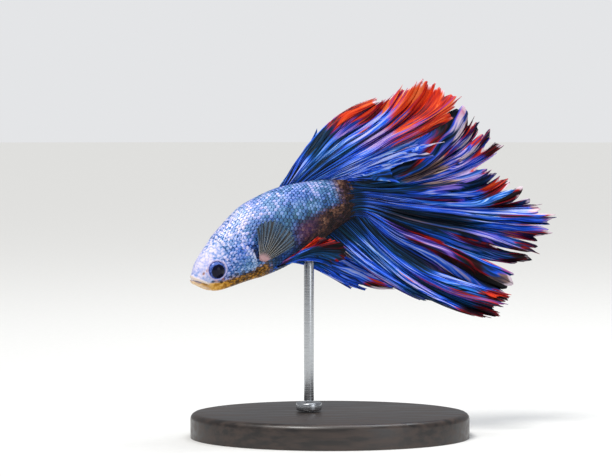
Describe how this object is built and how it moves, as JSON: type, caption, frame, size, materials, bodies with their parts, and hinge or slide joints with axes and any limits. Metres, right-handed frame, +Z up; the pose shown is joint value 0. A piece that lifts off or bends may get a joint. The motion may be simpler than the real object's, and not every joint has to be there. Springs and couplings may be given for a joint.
{
  "type": "betta fish",
  "caption": "Still life-size betta fish, a long-finned male with its fins spread, head low and tail swept back, held up on an oval display base by a thin rod.",
  "frame": {"origin": "centre of the display base's underside", "axes": "+Z up; the fish swims towards -X, with its left flank towards -Y and its head turned a little towards -Y"},
  "size_m": [0.0752, 0.042, 0.0717],
  "materials": {
    "skin": "scaly, with a pearly sheen",
    "eye": "wet and clear",
    "fin": "silky, with a sheen",
    "pectoral": "thin and smoky",
    "base": "satin black stain",
    "rod": "satin"
  },
  "bodies": {
    "root": {"head": "skin", "lower_jaw": "skin", "gill_cover_left": "skin", "gill_cover_right": "skin", "trunk": "skin", "tail_stalk": "skin", "eye_left": "eye", "eye_right": "eye", "dorsal_fin": "fin", "caudal_fin": "fin", "anal_fin": "fin", "pelvic_fin_left": "fin", "pelvic_fin_right": "fin", "pectoral_fin_left": "pectoral", "pectoral_fin_right": "pectoral", "stand_base": "base", "stand_collar": "rod", "stand_rod": "rod"}
  },
  "joints": []
}
